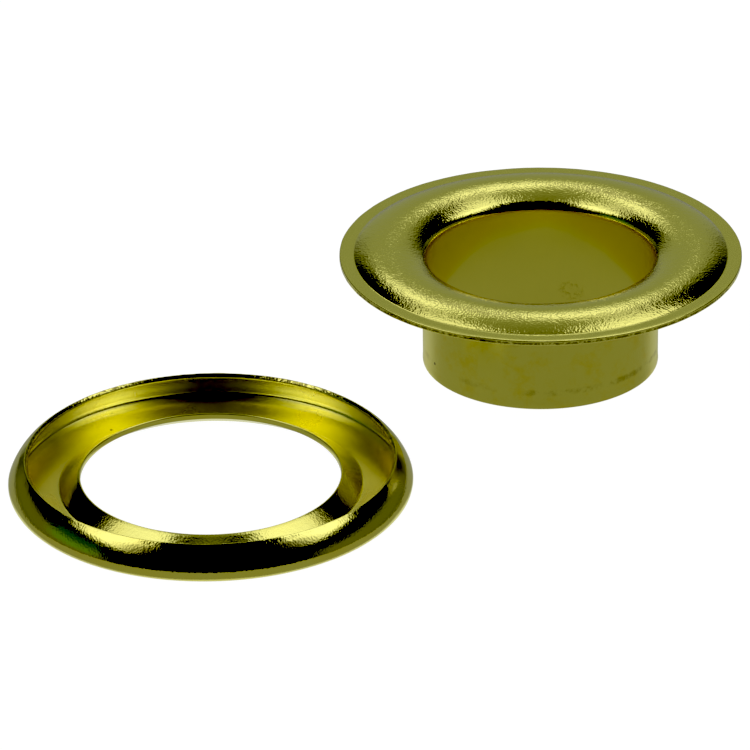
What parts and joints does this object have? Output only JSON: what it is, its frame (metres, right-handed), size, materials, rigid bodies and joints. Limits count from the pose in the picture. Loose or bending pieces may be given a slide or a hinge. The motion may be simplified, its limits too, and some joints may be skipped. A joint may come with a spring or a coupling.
{
  "type": "grommet with washer",
  "caption": "Plain brass grommet with a domed flange and straight barrel, beside its matching washer with a rolled rim, as supplied before setting.",
  "frame": {"origin": "centre of the barrel's end, on the grommet's axis, where the grommet stands on the table", "axes": "+Z along the barrel's axis, up through the flange; the washer lies towards -X and -Y"},
  "size_m": [0.0643, 0.0603, 0.0112],
  "materials": {
    "brass_grommet": "satin, fine grain on the crown",
    "brass_washer": "bright, lightly grained"
  },
  "bodies": {
    "grommet": {"grommet": "brass_grommet"},
    "washer": {"washer": "brass_washer"}
  },
  "joints": [
    {"name": "washer_lift", "type": "slide", "parent": "grommet", "child": "washer", "axis": [0, 0, 1], "range_m": [0, 0.03]}
  ]
}
